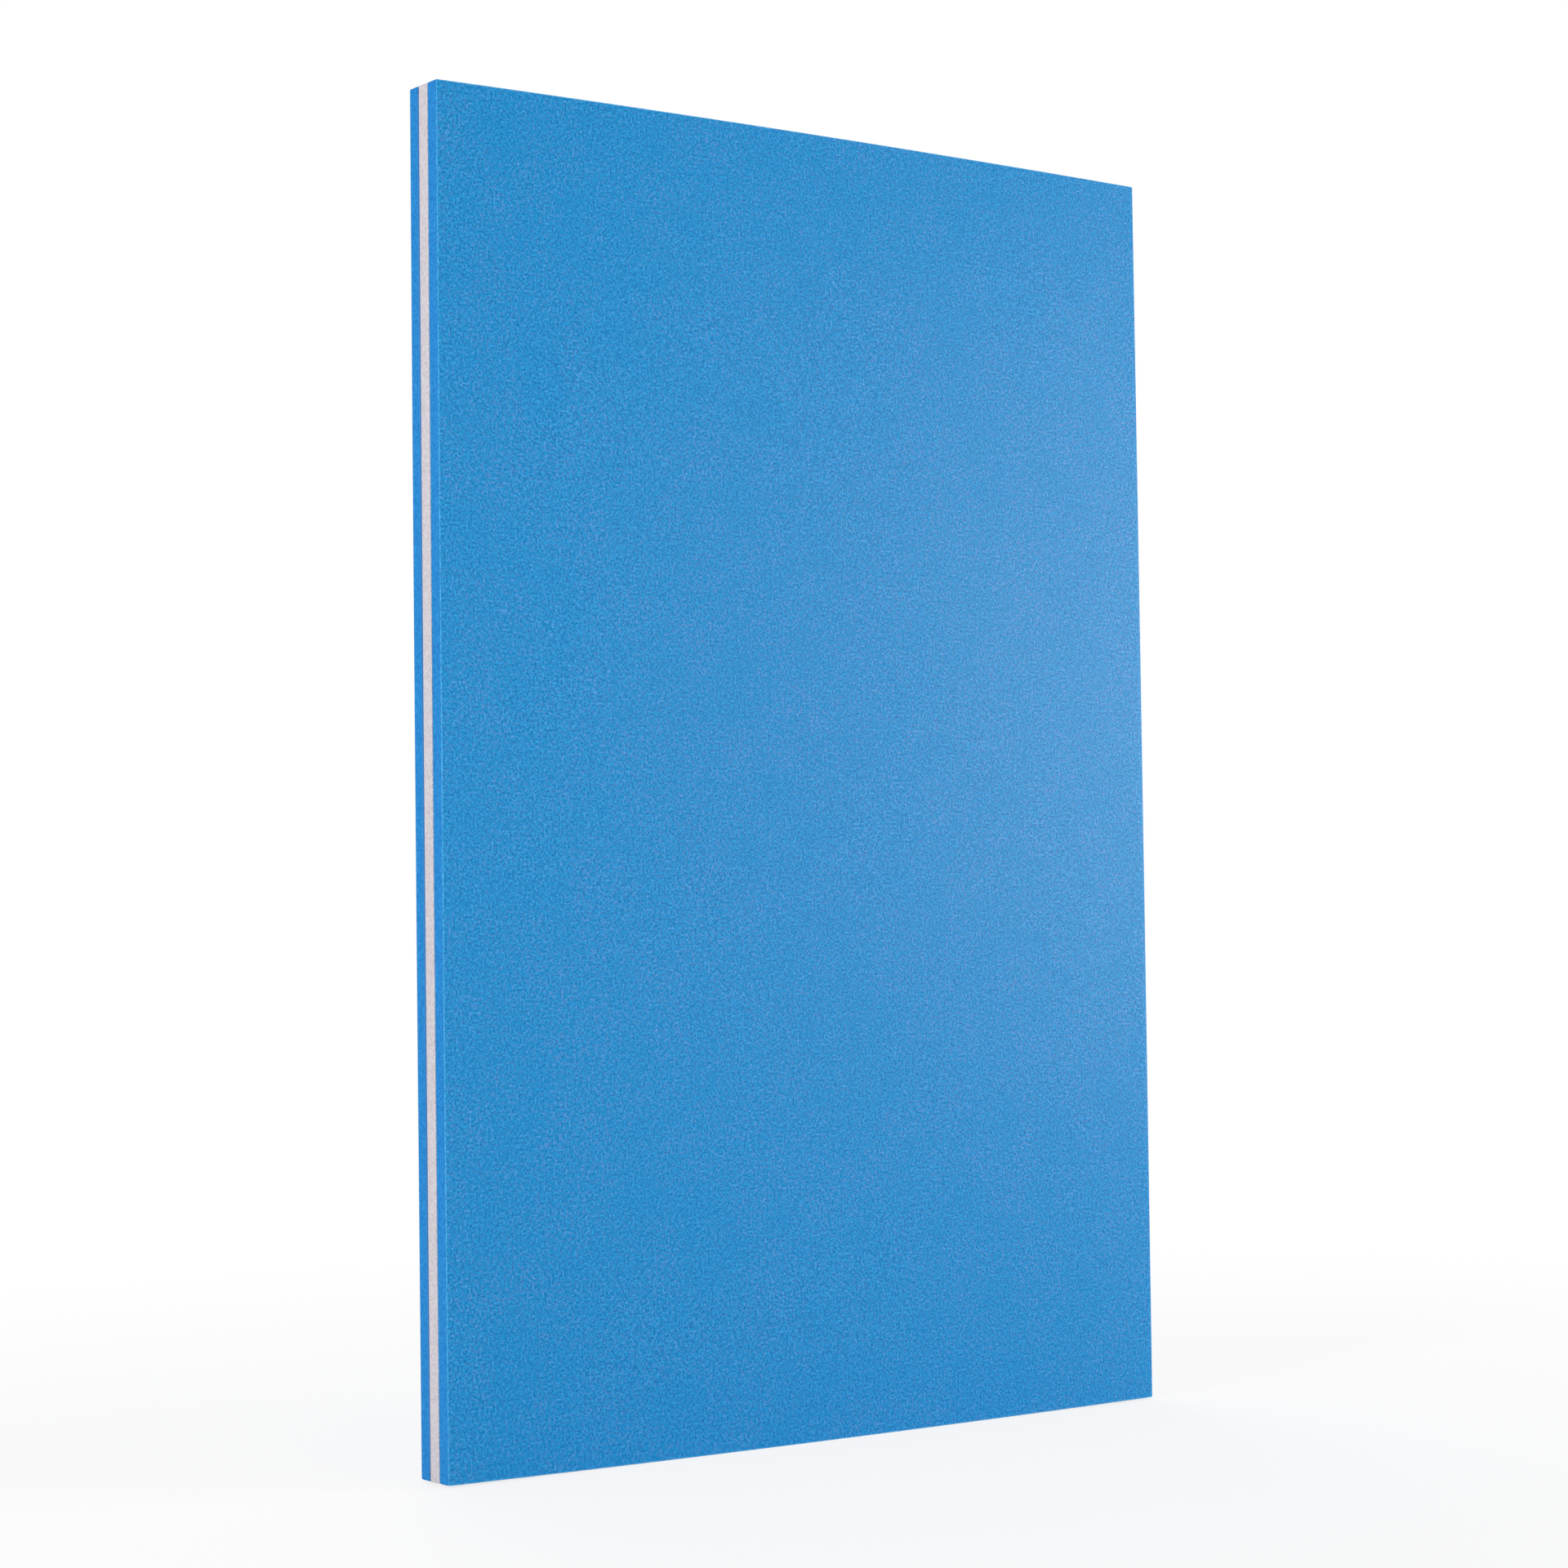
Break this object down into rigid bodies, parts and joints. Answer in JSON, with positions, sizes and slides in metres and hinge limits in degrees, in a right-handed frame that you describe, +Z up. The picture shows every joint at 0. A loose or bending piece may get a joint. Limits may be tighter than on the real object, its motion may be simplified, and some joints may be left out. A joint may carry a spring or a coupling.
{
  "type": "folding gym mat",
  "caption": "Thin folding foam gym mat in three hinged sections, folded up and standing on its short edge, with blue outer sections and a white middle one.",
  "frame": {"origin": "middle of the folded mat's standing edge, on the floor", "axes": "+Z up along the folds, +X across a section from the left fold to the right fold, +Y from the front section to the back section"},
  "size_m": [0.6678, 0.0376, 1],
  "materials": {
    "blue_film": "satin",
    "blue_foam": "matte",
    "white_film": "satin",
    "white_foam": "matte",
    "blue_tape": "matte"
  },
  "bodies": {
    "middle_section": {"middle_front_skin": "white_film", "middle_core": "white_foam", "middle_rear_skin": "white_film", "left_hinge_tape": "blue_tape", "right_hinge_tape": "blue_tape"},
    "front_section": {"front_outer_skin": "blue_film", "front_core": "blue_foam", "front_inner_skin": "blue_film"},
    "back_section": {"back_inner_skin": "blue_film", "back_core": "blue_foam", "back_outer_skin": "blue_film"}
  },
  "joints": [
    {"name": "front_fold", "type": "hinge", "parent": "middle_section", "child": "front_section", "pos_m": [0.3335, -0.0064, 0], "axis": [0, 0, 1], "range_deg": [0, 180], "deforming": ["right_hinge_tape"]},
    {"name": "back_fold", "type": "hinge", "parent": "middle_section", "child": "back_section", "pos_m": [-0.3335, 0.0064, 0], "axis": [0, 0, 1], "range_deg": [0, 180], "deforming": ["left_hinge_tape"]}
  ]
}
